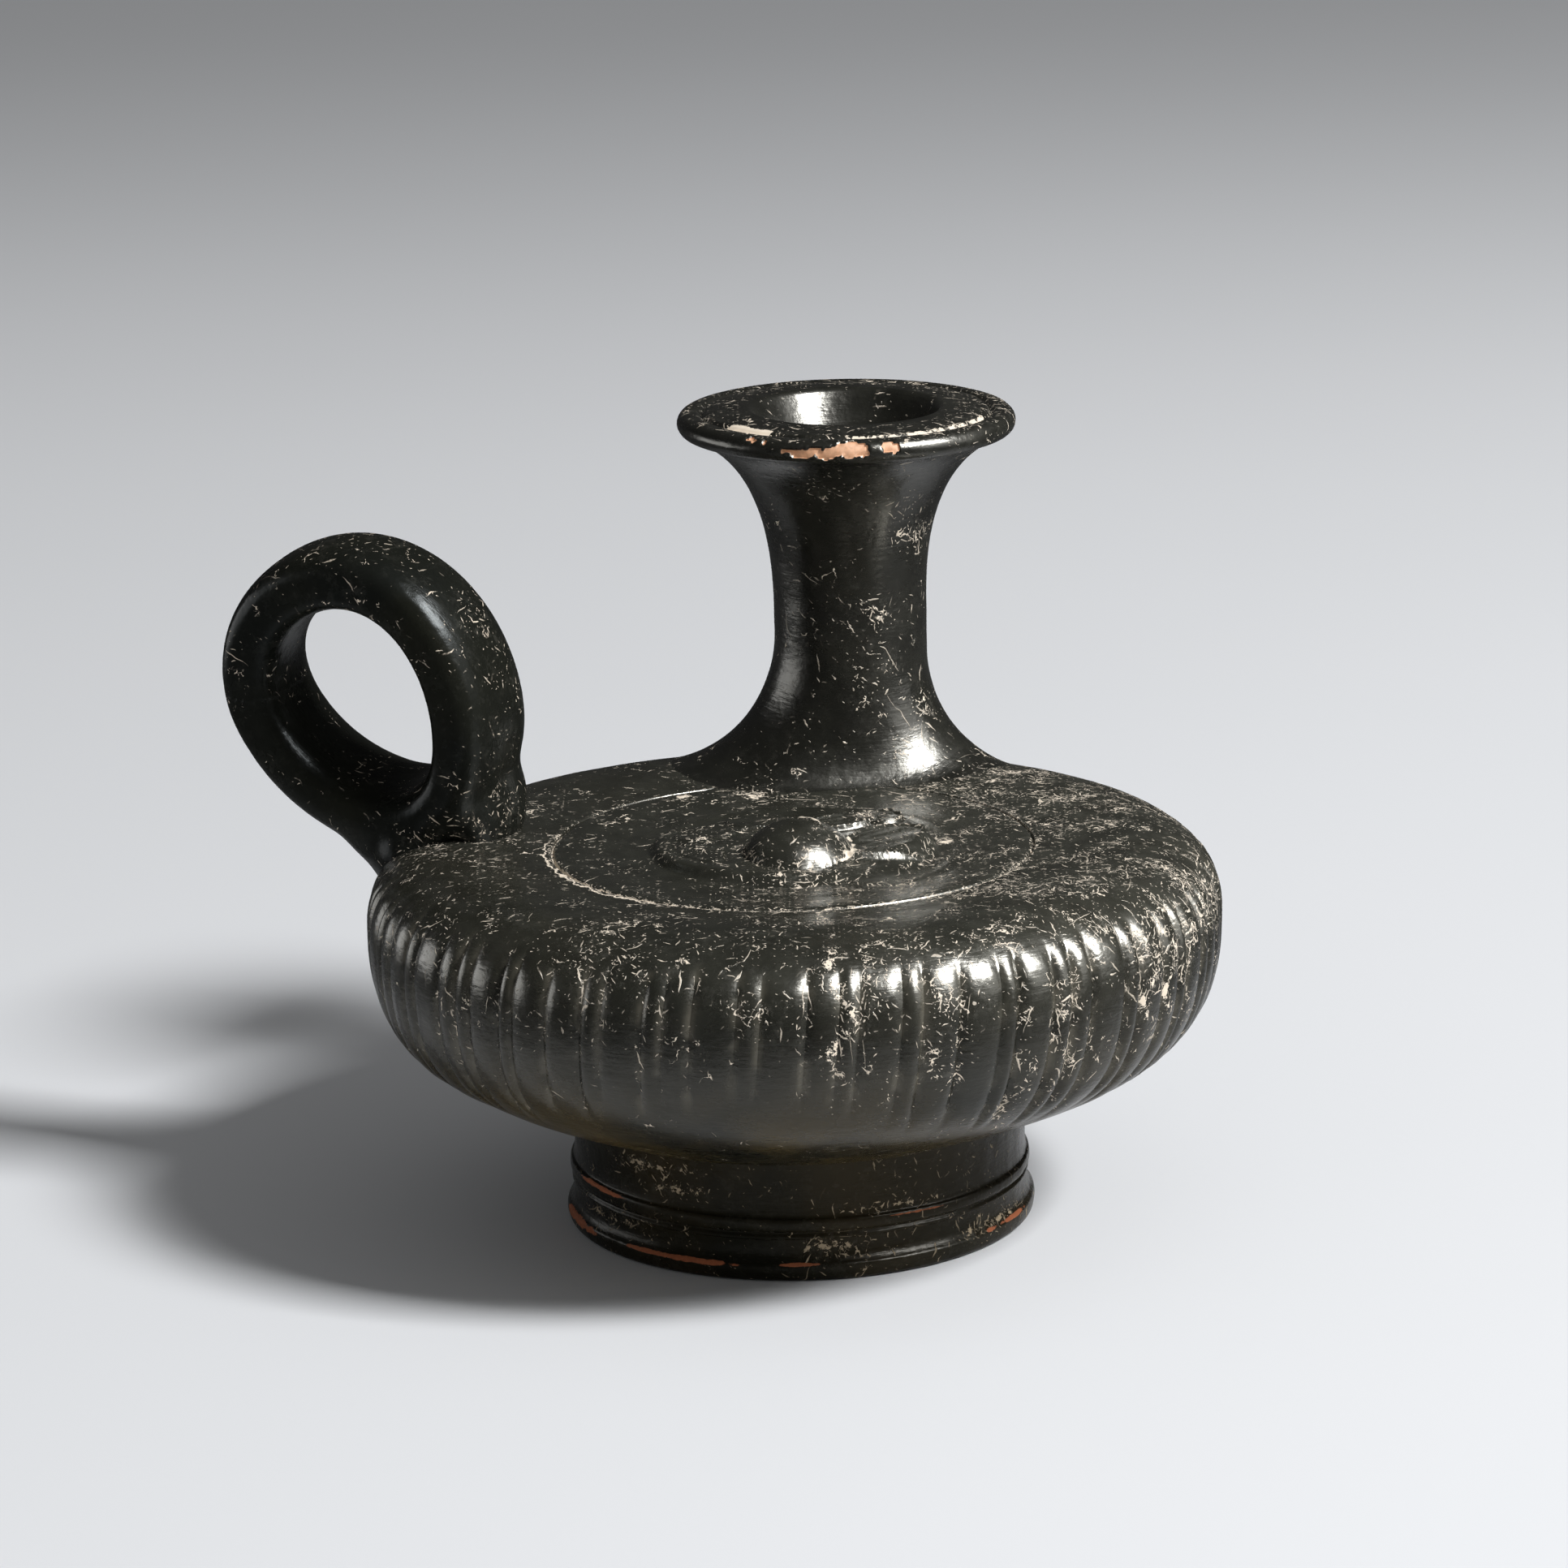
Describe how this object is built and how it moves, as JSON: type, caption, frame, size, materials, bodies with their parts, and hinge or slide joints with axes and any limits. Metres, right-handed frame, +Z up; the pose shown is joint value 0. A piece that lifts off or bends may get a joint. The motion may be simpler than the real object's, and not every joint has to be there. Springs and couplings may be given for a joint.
{
  "type": "ribbed oil flask with ring handle",
  "caption": "Squat ribbed black-gloss pottery oil flask with ring foot, moulded medallion, off-centre flaring neck and ring handle.",
  "frame": {"origin": "middle of the bounding box on the resting plane", "axes": "+Z up; +X from the handle across the body to the viewer's right, the longest side; +Y from the front towards the neck's side"},
  "size_m": [0.1178, 0.1092, 0.0895],
  "materials": {
    "black_gloss": "glossy black slip over orange clay, scratched, with cream encrustation",
    "foot_gloss": "thinner brown-black gloss, worn to orange clay on the mouldings",
    "luting_gloss": "smeared clay under the same black gloss",
    "bare_clay": "matt unslipped orange clay"
  },
  "bodies": {
    "root": {"body_shell": "black_gloss", "foot_ring": "foot_gloss", "foot_luting_coil": "bare_clay", "medallion_bedding": "bare_clay", "medallion_disc": "black_gloss", "neck": "black_gloss", "neck_luting_coil": "luting_gloss", "ring_handle": "black_gloss", "handle_luting_pad": "luting_gloss"}
  },
  "joints": []
}
